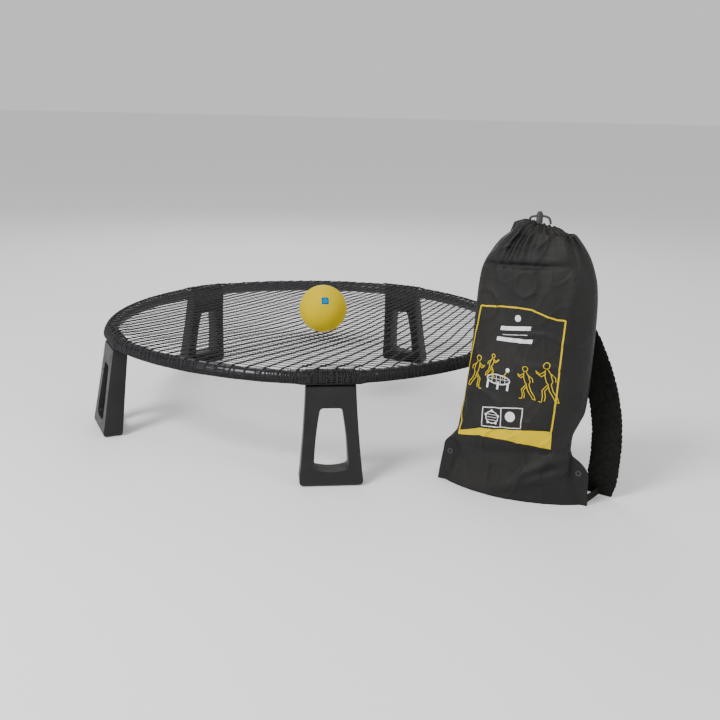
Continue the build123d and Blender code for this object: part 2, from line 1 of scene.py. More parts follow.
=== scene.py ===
"""The looks of a roundnet set: its net, rim, legs, ball and carry bag, on a pale floor.

Everything is in metres in the row frame.  Places come from the frame: the ring from its
leg hinges, the ball from its shell and the bag from its two eyelets.
"""
import json
import math

import bmesh
import bpy
from mathutils import Matrix, Vector, noise


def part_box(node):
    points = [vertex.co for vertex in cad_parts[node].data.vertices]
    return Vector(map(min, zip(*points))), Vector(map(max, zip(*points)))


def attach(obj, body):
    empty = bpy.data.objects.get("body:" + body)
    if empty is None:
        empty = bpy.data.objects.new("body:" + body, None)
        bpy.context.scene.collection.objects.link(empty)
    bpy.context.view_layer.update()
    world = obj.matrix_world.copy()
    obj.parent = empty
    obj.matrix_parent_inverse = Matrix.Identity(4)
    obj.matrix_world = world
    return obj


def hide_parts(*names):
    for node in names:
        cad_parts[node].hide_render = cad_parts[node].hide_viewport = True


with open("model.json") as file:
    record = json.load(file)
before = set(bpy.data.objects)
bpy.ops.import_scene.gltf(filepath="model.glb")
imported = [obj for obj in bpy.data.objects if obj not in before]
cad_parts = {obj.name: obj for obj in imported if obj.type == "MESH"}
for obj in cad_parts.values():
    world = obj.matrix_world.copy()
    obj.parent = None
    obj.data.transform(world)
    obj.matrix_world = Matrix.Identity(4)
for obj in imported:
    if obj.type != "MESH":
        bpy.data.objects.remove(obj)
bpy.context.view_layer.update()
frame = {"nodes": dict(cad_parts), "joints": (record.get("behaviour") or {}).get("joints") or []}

MM = 0.001
UP = Vector((0, 0, 1))

# ---- places from the frame ----------------------------------------------------------
FOLDS = [j for j in frame["joints"] if j["name"].endswith("_fold")]
LEG_COUNT = len(FOLDS)
HINGES = [Vector(j["pos_m"]) for j in FOLDS]
RING = sum(HINGES, Vector()) / LEG_COUNT
RIM_Z = RING.z
OUT = [Vector((h.x - RING.x, h.y - RING.y)).normalized() for h in HINGES]
ALONG = [Vector((-out.y, out.x)) for out in OUT]
STATION_R = (HINGES[0] - RING).length
BALL_LOW, BALL_HIGH = (Vector(corner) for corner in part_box("ball_shell"))
BALL = (BALL_LOW + BALL_HIGH) / 2
BALL_R = (BALL_HIGH.z - BALL_LOW.z) / 2


def middle(node):
    low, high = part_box(node)
    return (Vector(low) + Vector(high)) / 2


EYELET_LEFT = middle("bag_eyelet_left")
EYELET_RIGHT = middle("bag_eyelet_right")
BAG = (EYELET_LEFT + EYELET_RIGHT) / 2
BAG.z = 0
BAG_X = (EYELET_RIGHT - EYELET_LEFT).normalized()
BAG_Y = UP.cross(BAG_X)
NECK_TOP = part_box("bag_neck_hem")[1][2]

# ---- sizes of the rim and net ---------------------------------------------------------
TUBE_R = 12.5 * MM
SLEEVE_R = 15.05 * MM
STATION_HALF = 51 * MM       # straight stretch of rim at a leg, to each side of its middle
BEND_R = 100 * MM            # and the bends at its ends
SADDLE_START = 49 * MM       # distance from a leg's middle where the net leaves the sleeve
SADDLE_END = 66 * MM         # and where it lies on the tube
MID_ARC_R = STATION_R - 3.5 * MM
HALF_SECTOR = math.pi / LEG_COUNT
BEND_OUT = STATION_R - BEND_R
BEND_REACH = STATION_HALF * math.sin(HALF_SECTOR) + BEND_OUT * math.cos(HALF_SECTOR)
ARC_R = (STATION_HALF ** 2 + BEND_OUT ** 2 - 2 * MID_ARC_R * BEND_REACH + MID_ARC_R ** 2 - BEND_R ** 2) / (
    2 * (MID_ARC_R - BEND_REACH - BEND_R)
)
BEND_TURN = math.atan2(
    STATION_HALF - (MID_ARC_R - ARC_R) * math.sin(HALF_SECTOR),
    BEND_OUT - (MID_ARC_R - ARC_R) * math.cos(HALF_SECTOR),
)
CHAIN_R = 1.35 * MM
THREAD_R = 0.9 * MM
CHAIN_STEP = 23.4 * MM       # between chains, along X through the ring's middle
ROW_STEP = 17.6 * MM         # between rows, along Y through the ring's middle
CHAIN_SAMPLES = 3
NET_EDGE = math.radians(-25)  # how far round the tube the net reaches, from level
HEM_TURN = math.radians(-33)
HEM_R = 1.8 * MM
SMOOTH_MIDDLE = 255.5        # degrees round the ring, counted from its right side
SMOOTH_HALF = 9.0
SAG_SHAPE = 1.2
NET_SPAN = 0.52              # plan radius within which the net's lines are sampled
ROW_SLOPE = 0.36             # a row's run forwards for each metre to the right
ROW_CURVE = 0.27             # and its curve back
KNOT_SHARE = 1.75            # a chain's radius at a knot, and between knots
CHAIN_SHARE = 0.85
EDGE_ZONE = 20 * MM          # lines that end this near the rim are carried on to the edge
EDGE_STEP = 0.5 * MM
EDGE_STEPS = 60
GATHERS = 560                # strands gathered round the tube, and the parts of each
GATHER_PARTS = 10
GATHER_ROWS = ((0, 52), (2, 17), (3, 2), (4, -14))  # noise seed, degrees up from level
GATHER_ROW_PARTS = 420
HEM_PARTS = 900


def smooth(value):
    value = min(1.0, max(0.0, value))
    return value * value * (3 - 2 * value)


def lerp(a, b, share):
    return a + (b - a) * share


def turn_between(a, b):
    return math.acos(max(-1.0, min(1.0, a.dot(b))))


# ---- meshes -------------------------------------------------------------------------
def new_object(name, verts, faces, uvs=None, smooth_shading=True):
    mesh = bpy.data.meshes.new(name)
    mesh.from_pydata([tuple(v) for v in verts], [], faces)
    if uvs:
        layer = mesh.uv_layers.new(name="UVMap")
        for loop in mesh.loops:
            layer.data[loop.index].uv = uvs[loop.vertex_index]
    for polygon in mesh.polygons:
        polygon.use_smooth = smooth_shading
    mesh.validate()
    mesh.update()
    obj = bpy.data.objects.new(name, mesh)
    bpy.context.scene.collection.objects.link(obj)
    return obj


def skin(rings, columns):
    """The faces of a tube of rings of vertices, with a cap at each end."""
    faces = []
    for r in range(rings - 1):
        here, there = r * columns, (r + 1) * columns
        for c in range(columns):
            d = (c + 1) % columns
            faces.append((here + c, here + d, there + d, there + c))
    last = (rings - 1) * columns
    return faces + [tuple(range(columns - 1, -1, -1)), tuple(range(last, last + columns))]


class Tubes:
    """Closed round tubes along lines of points, gathered into one mesh."""

    def __init__(self, sides):
        self.sides = sides
        self.verts = []
        self.faces = []

    def add(self, points, radii, closed=False):
        count = len(points)
        if count < 2:
            return
        start = len(self.verts)
        sides = self.sides
        normal = None
        for i, point in enumerate(points):
            before = points[i - 1] if i or closed else point
            after = points[(i + 1) % count] if i + 1 < count or closed else point
            heading = (after - before).normalized()
            if normal is None:
                normal = heading.cross(UP if abs(heading.z) < 0.9 else Vector((1, 0, 0)))
            normal = (normal - heading * normal.dot(heading)).normalized()
            side = heading.cross(normal)
            for j in range(sides):
                turn = 2 * math.pi * j / sides
                self.verts.append(point + (normal * math.cos(turn) + side * math.sin(turn)) * radii[i])
        for i in range(count if closed else count - 1):
            here = start + i * sides
            there = start + (i + 1) % count * sides
            for j in range(sides):
                k = (j + 1) % sides
                self.faces.append((here + j, here + k, there + k, there + j))
        if not closed:
            self.faces.append(tuple(range(start + sides - 1, start - 1, -1)))
            last = start + (count - 1) * sides
            self.faces.append(tuple(range(last, last + sides)))

    def build(self, name):
        return new_object(name, self.verts, self.faces)


# ---- materials ----------------------------------------------------------------------
class Nodes:
    """A Principled material and short ways to add what drives its sockets."""

    def __init__(self, name, colour, rough, metal=0.0):
        self.material = bpy.data.materials.new(name)
        self.material.use_nodes = True
        self.tree = self.material.node_tree
        self.shader = self.tree.nodes["Principled BSDF"]
        self.shader.inputs["Base Color"].default_value = (*colour, 1)
        self.shader.inputs["Roughness"].default_value = rough
        self.shader.inputs["Metallic"].default_value = metal
        self.bump_before = None

    def node(self, kind, **inputs):
        node = self.tree.nodes.new(kind)
        for key, value in inputs.items():
            node.inputs[key].default_value = value
        return node

    def link(self, output, target):
        self.tree.links.new(output, target)

    def place(self, kind="Object"):
        return self.node("ShaderNodeTexCoord").outputs[kind]

    def noise(self, scale, detail=3.0, rough=0.55, place=None):
        node = self.node("ShaderNodeTexNoise", Scale=scale, Detail=detail, Roughness=rough)
        self.link(place or self.place(), node.inputs["Vector"])
        return node.outputs["Fac"]

    def colours(self, fac, first, second, low=0.35, high=0.65):
        ramp = self.tree.nodes.new("ShaderNodeValToRGB")
        ramp.color_ramp.elements[0].position = low
        ramp.color_ramp.elements[0].color = (*first, 1)
        ramp.color_ramp.elements[1].position = high
        ramp.color_ramp.elements[1].color = (*second, 1)
        self.link(fac, ramp.inputs["Fac"])
        return ramp.outputs["Color"]

    def paint(self, output):
        self.link(output, self.shader.inputs["Base Color"])

    def roughen(self, fac, low, high):
        spread = {"From Min": 0.3, "From Max": 0.7, "To Min": low, "To Max": high}
        node = self.node("ShaderNodeMapRange", **spread)
        self.link(fac, node.inputs["Value"])
        self.link(node.outputs["Result"], self.shader.inputs["Roughness"])

    def bump(self, height, distance, strength=1.0):
        node = self.node("ShaderNodeBump", Strength=strength, Distance=distance)
        self.link(height, node.inputs["Height"])
        if self.bump_before:
            self.link(self.bump_before, node.inputs["Normal"])
        self.bump_before = node.outputs["Normal"]
        self.link(self.bump_before, self.shader.inputs["Normal"])

    def waves(self, scale, place, direction):
        node = self.node("ShaderNodeTexWave", Scale=scale)
        node.wave_type = "BANDS"
        node.bands_direction = direction
        self.link(place, node.inputs["Vector"])
        return node.outputs["Fac"]

    def product(self, a, b):
        node = self.tree.nodes.new("ShaderNodeMath")
        node.operation = "MULTIPLY"
        self.link(a, node.inputs[0])
        self.link(b, node.inputs[1])
        return node.outputs["Value"]


def moulded_plastic(name, dark, light, rough):
    m = Nodes(name, dark, rough)
    m.shader.inputs["Specular IOR Level"].default_value = 0.3
    m.paint(m.colours(m.noise(18.0), dark, light, 0.3, 0.75))
    m.roughen(m.noise(60.0), rough - 0.06, rough + 0.08)
    m.bump(m.noise(1400.0, 2.0), 0.12 * MM, 0.5)
    m.bump(m.noise(40.0, 2.0), 0.5 * MM, 0.15)
    return m.material


def coated_tube():
    m = Nodes("rim_coating", (0.022, 0.022, 0.026), 0.36)
    m.paint(m.colours(m.noise(30.0), (0.018, 0.018, 0.022), (0.028, 0.028, 0.033)))
    m.roughen(m.noise(90.0), 0.3, 0.44)
    m.bump(m.noise(2200.0, 2.0), 0.08 * MM, 0.35)
    return m.material


def net_fibre(name, dark, light):
    m = Nodes(name, dark, 0.72)
    m.paint(m.colours(m.noise(300.0), dark, light))
    m.shader.inputs["Specular IOR Level"].default_value = 0.25
    m.bump(m.noise(2600.0, 2.0), 0.3 * MM, 0.8)
    return m.material


def pebbled_rubber():
    m = Nodes("ball_rubber", (0.58, 0.43, 0.0), 0.55)
    m.shader.inputs["Specular IOR Level"].default_value = 0.06
    m.paint(m.colours(m.noise(25.0), (0.55, 0.405, 0.0), (0.60, 0.44, 0.0)))
    cells = m.node("ShaderNodeTexVoronoi", Scale=620.0)
    m.link(m.place(), cells.inputs["Vector"])
    m.bump(cells.outputs["Distance"], 0.25 * MM, 0.5)
    m.roughen(m.noise(80.0), 0.45, 0.58)
    return m.material


def blue_rubber():
    m = Nodes("valve_rubber", (0.0, 0.17, 0.36), 0.45)
    m.shader.inputs["Specular IOR Level"].default_value = 0.1
    m.paint(m.colours(m.noise(120.0), (0.0, 0.15, 0.33), (0.0, 0.20, 0.40)))
    m.bump(m.noise(1500.0, 2.0), 0.1 * MM, 0.4)
    return m.material


def woven_cloth():
    """A plain weave in the cloth's own coordinates, warmer where the nap is rubbed."""
    m = Nodes("bag_weave", (0.033, 0.031, 0.029), 0.82)
    place = m.place("UV")
    warp = m.waves(330.0, place, "X")
    weft = m.waves(330.0, place, "Y")
    weave = m.product(warp, weft)
    slub = m.noise(260.0, 2.0, place=place)
    cloud = m.noise(9.0, 4.0, 0.6)
    tint = m.colours(cloud, (0.007, 0.0066, 0.0062), (0.015, 0.0137, 0.0125), 0.38, 0.72)
    fine = m.colours(m.product(weave, slub), (0.72, 0.72, 0.72), (1.2, 1.2, 1.2), 0.05, 0.6)
    mix = m.tree.nodes.new("ShaderNodeMix")
    mix.data_type = "RGBA"
    mix.blend_type = "MULTIPLY"
    mix.inputs["Factor"].default_value = 1.0
    m.link(tint, mix.inputs[6])
    m.link(fine, mix.inputs[7])
    m.paint(mix.outputs[2])
    m.roughen(slub, 0.5, 0.66)
    m.shader.inputs["Specular IOR Level"].default_value = 0.3
    m.bump(weave, 0.25 * MM, 0.6)
    m.bump(m.noise(70.0, 3.0), 1.2 * MM, 0.3)
    return m.material


def webbing():
    m = Nodes("woven_webbing", (0.008, 0.008, 0.0075), 0.8)
    place = m.place("UV")
    ribs = m.waves(210.0, place, "Y")
    m.paint(m.colours(m.noise(150.0), (0.005, 0.005, 0.0046), (0.011, 0.0105, 0.0095)))
    m.shader.inputs["Specular IOR Level"].default_value = 0.12
    m.bump(ribs, 0.35 * MM, 0.7)
    m.bump(m.noise(1800.0, 2.0), 0.2 * MM, 0.5)
    return m.material


def braided_cord():
    m = Nodes("cord_braid", (0.014, 0.014, 0.015), 0.7)
    m.paint(m.colours(m.noise(700.0), (0.010, 0.010, 0.011), (0.03, 0.03, 0.031)))
    m.shader.inputs["Sheen Weight"].default_value = 0.3
    m.bump(m.noise(1600.0, 2.0), 0.4 * MM, 0.8)
    return m.material


def pressed_metal(name, colour, rough):
    m = Nodes(name, colour, rough, 1.0)
    m.roughen(m.noise(300.0), rough - 0.08, rough + 0.12)
    m.bump(m.noise(900.0, 2.0), 0.05 * MM, 0.3)
    return m.material


def print_ink(name, colour, worn):
    m = Nodes(name, colour, 0.6)
    m.shader.inputs["Specular IOR Level"].default_value = 0.1
    m.paint(m.colours(m.noise(240.0), worn, colour, 0.2, 0.45))
    m.bump(m.noise(1400.0, 2.0), 0.12 * MM, 0.5)
    return m.material


def dress(obj, material):
    obj.data.materials.clear()
    obj.data.materials.append(material)


# ---- rim: where a point in plan lies against it -----------------------------------------
def rim_near(place):
    """For a plan point from the ring's middle: the rim axis's nearest point, the outward
    direction there, the distance outwards and the distance along the rim from a leg."""
    k = max(range(LEG_COUNT), key=lambda i: place.dot(OUT[i]))
    along = place.dot(ALONG[k])
    if abs(along) <= STATION_HALF:
        return OUT[k] * STATION_R + ALONG[k] * along, OUT[k], place.dot(OUT[k]) - STATION_R, abs(along)
    side = math.copysign(1, along)
    centre = OUT[k] * BEND_OUT + ALONG[k] * side * STATION_HALF
    out = (place - centre).normalized()
    turn = turn_between(out, OUT[k])
    if turn <= BEND_TURN and out.dot(ALONG[k]) * side >= 0:
        return centre + out * BEND_R, out, (place - centre).length - BEND_R, STATION_HALF + BEND_R * turn
    middle = OUT[k] * math.cos(HALF_SECTOR) + ALONG[k] * side * math.sin(HALF_SECTOR)
    centre = middle * (MID_ARC_R - ARC_R)
    out = (place - centre).normalized()
    run = STATION_HALF + BEND_R * BEND_TURN + ARC_R * (turn_between(out, OUT[k]) - BEND_TURN)
    return centre + out * ARC_R, out, (place - centre).length - ARC_R, run


def wrap_radius(along):
    """Radius at which a strand's middle lies round the tube, or round a leg's sleeve."""
    share = smooth((along - SADDLE_START) / (SADDLE_END - SADDLE_START))
    return lerp(SLEEVE_R + 0.4 * MM, TUBE_R, share) + CHAIN_R


def net_reach(along):
    return wrap_radius(along) * (math.pi / 2 - NET_EDGE)


def round_tube(near, out, radius, turn):
    """The point at a radius from the rim's axis, turned up from level on its outside."""
    flat = near + out * (radius * math.cos(turn))
    return Vector((RING.x + flat.x, RING.y + flat.y, RIM_Z + radius * math.sin(turn)))


def net_point(place):
    """A point of the flat net, drawn over the rim and down under the ball."""
    near, out, beyond, along = rim_near(place)
    radius = wrap_radius(along)
    if beyond > 0:
        return round_tube(near, out, radius, math.pi / 2 - beyond / radius)
    level = lerp(TUBE_R + CHAIN_R, radius, smooth(1 + beyond / (45 * MM)))
    from_ball = math.hypot(RING.x + place.x - BALL.x, RING.y + place.y - BALL.y)
    share = -beyond / (-beyond + from_ball)
    lowest = BALL_LOW.z - CHAIN_R - 0.3 * MM
    height = lerp(RIM_Z + level, lowest, share ** SAG_SHAPE)
    return Vector((RING.x + place.x, RING.y + place.y, height))


# ---- net ----------------------------------------------------------------------------
def lean(across):
    """How far a chain runs to the right for each metre that it runs back."""
    return 0.62 - 0.34 * smooth((across + 0.12) / 0.62)


def net_place(i, j):
    """Chain i crosses row j here, in plan from the ring's middle."""
    across = i * CHAIN_STEP
    start = j * ROW_STEP
    x, y = across, start
    for _ in range(12):
        y = start - ROW_SLOPE * x + ROW_CURVE * x * x
        x = across + lean(across) * y
    slow = noise.noise_vector(Vector((x * 7, y * 7, 3.1))) * (5 * MM)
    quick = noise.noise_vector(Vector((i * 1.7, j * 1.7, 8.4))) * (1.6 * MM)
    return Vector((x + slow.x + quick.x, y + slow.y + quick.y))


def past_edge(place):
    """How far a plan point lies past the net's edge; below 0 on the net."""
    _, _, beyond, along = rim_near(place)
    return beyond - net_reach(along)


def kept_runs(samples):
    """The stretches of a line that lie on the net, cut where its edge is."""
    runs, run = [], []
    for place, radius in samples:
        if past_edge(place) <= 0:
            run.append((place, radius))
        elif run:
            runs.append(run)
            run = []
    if run:
        runs.append(run)
    return runs


def to_edge(run):
    """The run with both ends carried on to the net's edge."""
    out = list(run)
    for end, inner in ((0, 1), (-1, -2)):
        place, radius = run[end]
        if rim_near(place)[2] > -EDGE_ZONE:
            step = (place - run[inner][0]).normalized()
            for _ in range(EDGE_STEPS):
                if past_edge(place) >= 0:
                    break
                place = place + step * EDGE_STEP
            out.insert(0 if end == 0 else len(out), (place, radius))
    return out


def add_line(tubes, samples):
    for run in kept_runs(samples):
        if len(run) < 3:
            continue
        run = to_edge(run)
        tubes.add([net_point(place) for place, _ in run], [radius for _, radius in run])


def build_net():
    chains = Tubes(6)
    limit_i = int(1.8 * NET_SPAN / CHAIN_STEP)
    limit_j = int(1.8 * NET_SPAN / ROW_STEP)
    for i in range(-limit_i, limit_i + 1):
        samples = []
        for step in range(-limit_j * CHAIN_SAMPLES, limit_j * CHAIN_SAMPLES + 1):
            j = step / CHAIN_SAMPLES
            place = net_place(i, j)
            if place.length < NET_SPAN:
                knot = KNOT_SHARE if step % CHAIN_SAMPLES == 0 else CHAIN_SHARE
                samples.append((place, CHAIN_R * knot))
        add_line(chains, samples)
    for j in range(-limit_j, limit_j + 1):
        samples = []
        for step in range(-limit_i * CHAIN_SAMPLES, limit_i * CHAIN_SAMPLES + 1):
            place = net_place(step / CHAIN_SAMPLES, j)
            if place.length < NET_SPAN:
                samples.append((place, THREAD_R))
        add_line(chains, samples)
    net = chains.build("net_strands")
    dress(net, net_fibre("net_fibre", (0.010, 0.010, 0.011), (0.022, 0.022, 0.024)))
    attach(net, "ring")
    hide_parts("net")


def wrap_place(angle, turn, proud):
    """On the net's wrap: angle round the ring from its right side, turn about the tube."""
    near, out, _, along = rim_near(Vector((math.cos(angle), math.sin(angle))) * STATION_R)
    return round_tube(near, out, wrap_radius(along) + proud, turn)


def gathered(angle):
    """How closely the net is gathered here: 1 almost everywhere, 0 where it is drawn smooth."""
    degrees = math.degrees(angle) % 360
    return smooth(abs(degrees - SMOOTH_MIDDLE) / SMOOTH_HALF - 0.5)


def build_gathers():
    """The slack of the net, bunched round the tube where its edge cord draws it in."""
    tubes = Tubes(5)
    for n in range(GATHERS):
        angle = 2 * math.pi * (n + 0.7 * noise.noise(Vector((n * 3.7, 0, 2)))) / GATHERS
        dense = gathered(angle)
        if dense < 0.5 and n % 4:
            continue
        slant = 0.016 * noise.noise(Vector((n * 0.9, 4, 0)))
        top = math.radians(70 + 40 * noise.noise(Vector((n * 0.61, 1, 0))))
        points, radii = [], []
        for step in range(GATHER_PARTS + 1):
            share = step / GATHER_PARTS
            turn = lerp(top, NET_EDGE - 0.05, share)
            wobble = 0.004 * noise.noise(Vector((n * 1.9, share * 3, 7)))
            points.append(wrap_place(angle + slant * share + wobble, turn, 0.5 * MM * dense))
            lumps = 0.3 * noise.noise(Vector((n, share * 5, 1)))
            radii.append(CHAIN_R * (0.75 + 0.5 * share * dense + lumps))
        tubes.add(points, radii)
    for seed, degrees in GATHER_ROWS:
        points, radii = [], []
        for n in range(GATHER_ROW_PARTS):
            angle = 2 * math.pi * n / GATHER_ROW_PARTS
            wave = 5 * noise.noise(Vector((math.cos(angle) * 24, math.sin(angle) * 24, seed * 5)))
            points.append(wrap_place(angle, math.radians(degrees + wave), 0.4 * MM))
            radii.append(CHAIN_R * (0.8 + 0.5 * noise.noise(Vector((n * 0.7, seed, 3)))))
        tubes.add(points, radii, closed=True)
    obj = tubes.build("net_gathers")
    dress(obj, bpy.data.materials["net_fibre"])
    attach(obj, "ring")


def build_hem():
    """The cord in the net's edge, all the way round under the outside of the rim."""
    hem = Tubes(8)
    points, radii = [], []
    for step in range(HEM_PARTS):
        angle = 2 * math.pi * step / HEM_PARTS
        ray = Vector((math.cos(angle), math.sin(angle)))
        near, out, _, along = rim_near(ray * (STATION_R + 8 * MM))
        radius = wrap_radius(along) - CHAIN_R + HEM_R
        turn = HEM_TURN + 0.05 * noise.noise(Vector((angle * 9, 0, 1)))
        points.append(round_tube(near, out, radius, turn))
        radii.append(HEM_R * (1 + 0.22 * noise.noise(Vector((angle * 60, 0, 5)))))
    hem.add(points, radii, closed=True)
    obj = hem.build("net_hem")
    dress(obj, net_fibre("hem_fibre", (0.008, 0.008, 0.009), (0.018, 0.018, 0.02)))
    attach(obj, "ring")
    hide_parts("net_hem_cord")


# ---- bag: its cloth as a surface --------------------------------------------------------
# height, left edge, right edge, half depth, in millimetres
BAG_OUTLINE = [
    (0, -141, 138, 38),
    (30, -137, 136, 40),
    (60, -132, 134, 42),
    (76, -129, 122, 43),
    (90, -117, 103, 44),
    (106, -106, 101, 46),
    (125, -102, 103, 48),
    (148, -99, 112, 49),
    (170, -95, 120, 50),
    (250, -87, 124, 51),
    (345, -82, 125, 50),
    (385, -79, 122, 47),
    (410, -74, 116, 45),
    (435, -61, 106, 40),
    (456, -46, 92, 34),
    (470, -30, 80, 29),
]
BODY_OUTLINE = [(0, -127, 127), (50, -112, 110), (90, -110, 103), (106, -106, 101)]
CLOTH_SCALE = 1.01           # the bag's size over its outline tables
EAR_TOP = 90 * MM
EAR_HALF = 1.6 * MM
DOME_TOP = 470 * MM
# rings of the gathered mouth: half width, half depth, height over the dome's top
MOUTH_RINGS = [
    (47, 23, 5), (36, 18, 10), (30, 15, 13), (25, 12, 13.5), (19, 9, 10), (12, 5, 1), (6, 3, -12),
]
MOUTH_MIDDLE = 24 * MM
MOUTH_TILT = 0.22
BAG_COLUMNS = 288
PLEATS = 19
FLAT_HALF = 8 * MM           # the folds fade where the bag's half depth is less than this
FOOT = 20 * MM               # and below this height
UV_BACK = 0.4                # the back's cloth lies this far along from the front's
UV_RING_STEP = 0.006


def table_at(rows, column, height):
    """A column of an outline table at a height, on a smooth curve through its rows."""
    h = height / MM
    if h <= rows[0][0]:
        return rows[0][column] * MM
    if h >= rows[-1][0]:
        return rows[-1][column] * MM
    i = next(n for n in range(len(rows) - 1) if rows[n + 1][0] >= h)
    x0, x1 = rows[i][0], rows[i + 1][0]
    y0, y1 = rows[i][column], rows[i + 1][column]
    before = rows[max(0, i - 1)]
    after = rows[min(len(rows) - 1, i + 2)]
    m0 = (y1 - before[column]) / (x1 - before[0])
    m1 = (after[column] - y0) / (after[0] - x0)
    span = x1 - x0
    t = (h - x0) / span
    value = (
        (2 * t ** 3 - 3 * t ** 2 + 1) * y0
        + (t ** 3 - 2 * t ** 2 + t) * span * m0
        + (3 * t ** 2 - 2 * t ** 3) * y1
        + (t ** 3 - t ** 2) * span * m1
    )
    return value * MM


def middle_and_half(outline, z):
    """The middle and the half width of an outline at a height."""
    left, right = table_at(outline, 1, z), table_at(outline, 2, z)
    return (left + right) / 2, (right - left) / 2


def bag_to_row(x, y, z):
    return BAG + BAG_X * x + BAG_Y * y + UP * z


def cloth_to_row(x, y, z):
    return bag_to_row(CLOTH_SCALE * x, CLOTH_SCALE * y, CLOTH_SCALE * z)


def ridge(value, width):
    return math.exp(-((value / width) ** 2))


def wrinkle(place):
    """Narrow rounded crests, as soft cloth makes where it buckles."""
    return max(0.0, 1 - abs(noise.noise(place)) * 7) ** 2 - 0.15


def cloth_folds(x, z, turn, front):
    """How far the cloth stands out at a place: pleats, creases and soft dents."""
    neck = smooth((z - 0.385) / 0.085)
    gather = math.cos(PLEATS * turn + 1.2 * math.sin(3 * turn) + 5 * noise.noise(Vector((turn, z * 6, 0))))
    out = 3.2 * MM * neck * gather
    out += 1.6 * MM * neck * math.cos(11 * turn + 0.7)
    seed = 2.0 if front else 9.0
    out += 4.6 * MM * noise.noise(Vector((x * 9, z * 7, seed)))
    out += 2.6 * MM * noise.noise(Vector((x * 26, z * 17, seed + 1)))
    out += 3.2 * MM * wrinkle(Vector((x * 13 + z * 7, z * 11 - x * 5, seed + 2)))
    out += 1.5 * MM * wrinkle(Vector((x * 31 - z * 9, z * 17, seed + 3)))
    if front:
        crease = z - 0.418 - 0.05 * x
        out -= 5.2 * MM * ridge(crease, 0.005) * smooth((0.1 - abs(x)) / 0.06)
        out += 4.4 * MM * ridge(crease - 0.012, 0.010) * smooth((0.11 - abs(x)) / 0.06)
        diagonal = z - 0.055 - 0.62 * (x - 0.03)
        out += 7.0 * MM * ridge(diagonal, 0.010) * smooth((x + 0.01) / 0.05) * smooth((0.12 - z) / 0.05)
        second = z - 0.03 - 0.35 * (x - 0.01)
        out += 6.0 * MM * ridge(second, 0.009) * smooth((x + 0.05) / 0.08) * smooth((0.1 - z) / 0.04)
        waist = z - 0.088 - 0.1 * x
        out -= 3.2 * MM * ridge(waist, 0.013)
        right_fold = x - 0.088 - 0.06 * (z - 0.3)
        out += 4.2 * MM * ridge(right_fold, 0.012) * smooth((z - 0.14) / 0.08) * smooth((0.43 - z) / 0.06)
        left_fold = x + 0.035 - 0.5 * (z - 0.40)
        out += 1.6 * MM * ridge(left_fold, 0.02) * smooth((z - 0.36) / 0.04)
    return out


def half_depth(x, z):
    """Half the bag's depth at a place, without its folds; the corners at its foot are flat."""
    low = z < EAR_TOP
    centre, width = middle_and_half(BODY_OUTLINE if low else BAG_OUTLINE, z)
    blunt = lerp(0.85, 0.42, smooth((z - 0.055) / 0.035)) if low else 0.42
    t = (x - centre) / width
    core = table_at(BAG_OUTLINE, 3, z) * max(0.0, 1 - t * t) ** blunt
    return max(core, EAR_HALF) if low else core


def bag_place(turn, z):
    """A point of the cloth: turn 0 is the bag's right side and -90 degrees its front."""
    centre, width = middle_and_half(BAG_OUTLINE, z)
    x = centre + width * math.cos(turn)
    side = 1 if math.sin(turn) > 0 else -1
    edge = abs(math.sin(turn))
    half = half_depth(x, z)
    if z < EAR_TOP:
        half = min(half, EAR_HALF + 60 * MM * edge)
    folds = cloth_folds(x, z, turn, side < 0) * smooth(edge * 1.6)
    if half < FLAT_HALF:
        folds *= (half / FLAT_HALF) ** 2
    if z < FOOT:
        folds *= 0.3 + 0.7 * z / FOOT
    return Vector((x, side * (half * min(1, edge * 8)) + side * folds, z))


def front_point(x, z, proud):
    """The front of the cloth at a place, for the print that lies on it."""
    centre, width = middle_and_half(BAG_OUTLINE, z)
    share = max(-0.985, min(0.985, (x - centre) / width))
    place = bag_place(-math.acos(share), z)
    return cloth_to_row(place.x, place.y - proud, place.z)


def bag_heights():
    heights = [0.0, 0.6 * MM]
    z = 4 * MM
    while z < DOME_TOP:
        heights.append(z)
        fine = 60 * MM < z < 112 * MM or z > 395 * MM
        z += 1.6 * MM if fine else 3.2 * MM
    return heights


def mouth_ring(ring, turn):
    half_width, half_deep, over = (value * MM for value in ring)
    pucker = math.cos(PLEATS * turn + 1.2 * math.sin(3 * turn)) * min(2.2 * MM, half_deep * 0.3)
    x = MOUTH_MIDDLE + (half_width + pucker) * math.cos(turn)
    y = (half_deep + pucker) * math.sin(turn)
    z = DOME_TOP + over - MOUTH_TILT * (x - MOUTH_MIDDLE)
    z += 1.6 * MM * math.cos(PLEATS * turn + 0.8) * smooth(over / (12 * MM))
    return Vector((x, y, z))


def build_bag():
    verts, uvs = [], []
    heights = bag_heights()
    columns = [2 * math.pi * n / BAG_COLUMNS for n in range(BAG_COLUMNS)]

    def add(place, turn, v):
        verts.append(cloth_to_row(*place))
        uvs.append((place.x if turn > math.pi else UV_BACK - place.x, v))

    for z in heights:
        for turn in columns:
            place = bag_place(turn, z)
            if z < 0.5 * MM:
                place.x *= 0.992
                place.y *= 0.97
            add(place, turn, z)
    for n, ring in enumerate(MOUTH_RINGS):
        for turn in columns:
            add(mouth_ring(ring, turn), turn, DOME_TOP + UV_RING_STEP * (n + 1))
    faces = skin(len(heights) + len(MOUTH_RINGS), BAG_COLUMNS)
    bag = new_object("bag_cloth", verts, faces, uvs)
    dress(bag, woven_cloth())
    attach(bag, "bag")
    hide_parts("bag_shell", "bag_neck_hem", "bag_base_panel")


# ---- the print on the bag ---------------------------------------------------------------
INK_THICKNESS = 0.3 * MM
INK_FLOAT = 0.25 * MM


